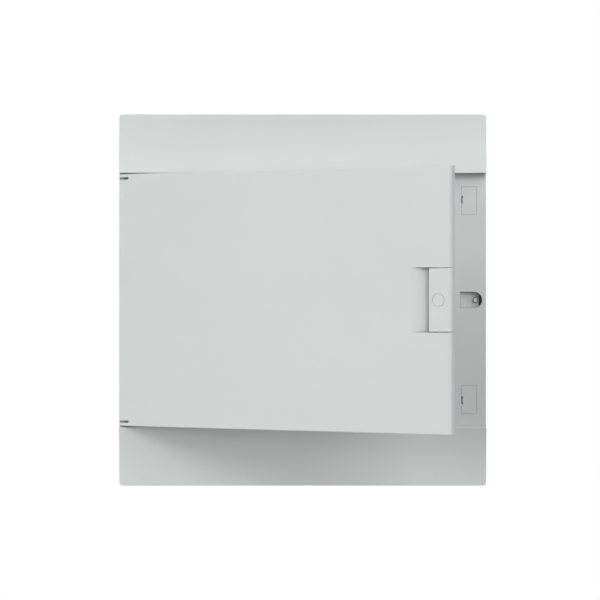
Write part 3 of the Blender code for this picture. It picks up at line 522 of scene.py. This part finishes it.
def marking_strip(row, row_z):
    """A ruled card strip above a device row, held between two rails."""
    low, high = row_z + 0.0275, row_z + 0.0375
    mat = card(f"marking_card_{row}", (0.88, 0.885, 0.87), columns=ROW_POLES, rows=1,
               box=(-TABLE_HALF, TABLE_HALF, low - 0.001, high + 0.001))
    strip = cuboid(around(0.0, STRIP_HALF), (Y_PANEL + 0.0002, Y_PANEL - 0.0005), (low, high),
                   rounding=0.0008)
    piece(f"marking_strip_{row}", [strip], mat, "board", bevel=0.0001, segments=1)
    rails = [
        cuboid(around(0.0, RAIL_HALF), (Y_PANEL + 0.0003, Y_PANEL - 0.0012),
               around(rail_z, 0.0007))
        for rail_z in (low - RAIL_GAP, high + RAIL_GAP)
    ]
    piece(f"marking_rails_{row}", rails, MATERIALS["cover"], "board", bevel=0.00025)


marking_strip("upper", 0.075)
marking_strip("lower", -0.075)

# ---------------------------------------------------------------- colour and world
scene = bpy.context.scene
scene.view_settings.view_transform = "Standard"
scene.view_settings.look = "None"
scene.view_settings.exposure = 0.0
scene.view_settings.gamma = 1.0


def studio_world():
    """White to the camera; for other rays, a fill that comes only from behind (+Y)."""
    vertical_fill = (0.0, 0.0)  # strength from straight below and straight above
    rear_fill = 0.45
    world = bpy.data.worlds.new("studio")
    scene.world = world
    world.use_nodes = True
    world.node_tree.nodes.clear()
    graph = Graph(world.node_tree)
    seen = graph.add("ShaderNodeBackground", {"Color": (1, 1, 1, 1), "Strength": 1.0})
    where = graph.axes(graph.add("ShaderNodeTexCoord").outputs["Generated"])
    vertical = graph.span(where["Z"], between=(-1.0, 1.0), to=vertical_fill)
    behind = graph.span(where["Y"], between=(0.05, 0.75), to=(0.0, rear_fill))
    total = graph.add("ShaderNodeMath", {0: vertical, 1: behind}, operation="ADD").outputs[0]
    fill = graph.add("ShaderNodeBackground", {"Color": (0.97, 0.99, 1.0, 1), "Strength": total})
    camera_ray = graph.add("ShaderNodeLightPath").outputs["Is Camera Ray"]
    inputs = {"Fac": camera_ray, 1: fill.outputs[0], 2: seen.outputs[0]}
    mixer = graph.add("ShaderNodeMixShader", inputs)
    graph.add("ShaderNodeOutputWorld", {"Surface": mixer.outputs[0]})


studio_world()

# ---------------------------------------------------------------- lights
LIGHT_DISTANCE = 8.0
LIGHT_TARGET = Vector((0, -0.15, 0))
LIGHT_SIZE = 3.4
LIGHT_POWER = 379.0
# name, azimuth (0 is straight ahead, positive to the right), elevation, share of the power
SOFTBOXES = (
    ("left_key_low", -50, 5, 0.63),
    ("left_key_high", -50, 35, 0.37),
    ("left_inner", -25, 35, 0.20),
    ("right_inner", 25, 35, 0.50),
    ("right_inner_low", 25, 5, 0.14),
    ("right_low", 50, 5, 0.08),
    ("right_top", 50, 65, 0.82),
    ("right_far", 75, 35, 0.21),
)


def softbox(name, azimuth, elevation, power):
    light = bpy.data.lights.new(name, "AREA")
    light.shape = "RECTANGLE"
    light.size = light.size_y = LIGHT_SIZE
    light.energy = power
    obj = bpy.data.objects.new(name, light)
    scene.collection.objects.link(obj)
    across, rise = math.radians(azimuth), math.radians(elevation)
    place = Vector((
        LIGHT_DISTANCE * math.sin(across) * math.cos(rise),
        SCENE_Y - LIGHT_DISTANCE * math.cos(across) * math.cos(rise),
        LIGHT_DISTANCE * math.sin(rise),
    ))
    obj.location = place
    obj.rotation_euler = (LIGHT_TARGET - place).to_track_quat("-Z", "Y").to_euler()
    obj.visible_camera = False


for tag, azimuth, elevation, share in SOFTBOXES:
    softbox(f"{tag}_softbox", azimuth, elevation, power=LIGHT_POWER * share)


# ---------------------------------------------------------------- floor
def floor_paint():
    """Pale paint that fades out towards the rim and is clear from below."""
    graph = Material("floor_paint")
    cloud = graph.noise(graph.coords(), scale=3.0, detail=3.0, rough=0.5)
    paint = graph.mix(cloud, (0.80, 0.80, 0.795), (0.84, 0.84, 0.835))
    camera_ray = graph.add("ShaderNodeLightPath").outputs["Is Camera Ray"]
    camera_glow = 0.62
    graph.put(
        Base_Color=paint,
        Roughness=graph.span(cloud, to=(0.55, 0.7)),
        Emission_Color=paint,
        Emission_Strength=graph.math("MULTIPLY", camera_ray, camera_glow),
    )
    centre = graph.add("ShaderNodeTexCoord").outputs["Object"]
    reach = graph.add("ShaderNodeVectorMath", {0: centre}, operation="LENGTH").outputs["Value"]
    fade = graph.span(reach, between=(0.35, 2.2), interpolation_type="SMOOTHSTEP")
    below = graph.add("ShaderNodeNewGeometry").outputs["Backfacing"]
    clear = graph.add("ShaderNodeBsdfTransparent").outputs[0]
    inputs = {"Fac": graph.math("MAXIMUM", fade, below), 1: graph.bsdf.outputs[0], 2: clear}
    both = graph.add("ShaderNodeMixShader", inputs)
    graph.feed(graph.tree.nodes["Material Output"], {"Surface": both.outputs[0]})
    return graph.mat


def studio_floor():
    disc = bmesh.new()
    bmesh.ops.create_circle(disc, cap_ends=True, segments=96, radius=2.3)
    mesh = bpy.data.meshes.new("studio_floor")
    disc.to_mesh(mesh)
    disc.free()
    floor = bpy.data.objects.new("studio_floor", mesh)
    scene.collection.objects.link(floor)
    floor.location = (0, SCENE_Y, -1.0)
    mesh.materials.append(floor_paint())


studio_floor()

# ---------------------------------------------------------------- camera, level and facing +Y
lens = bpy.data.cameras.new("camera")
lens.lens = 149.3
lens.sensor_width = 36.0
lens.clip_start = 0.05
lens.clip_end = 50.0
camera = bpy.data.objects.new("camera", lens)
scene.collection.objects.link(camera)
camera.location = (-0.00322, -3.0157, 0.0)
camera.rotation_euler = (math.radians(90), 0, 0)
scene.camera = camera

bpy.context.view_layer.update()
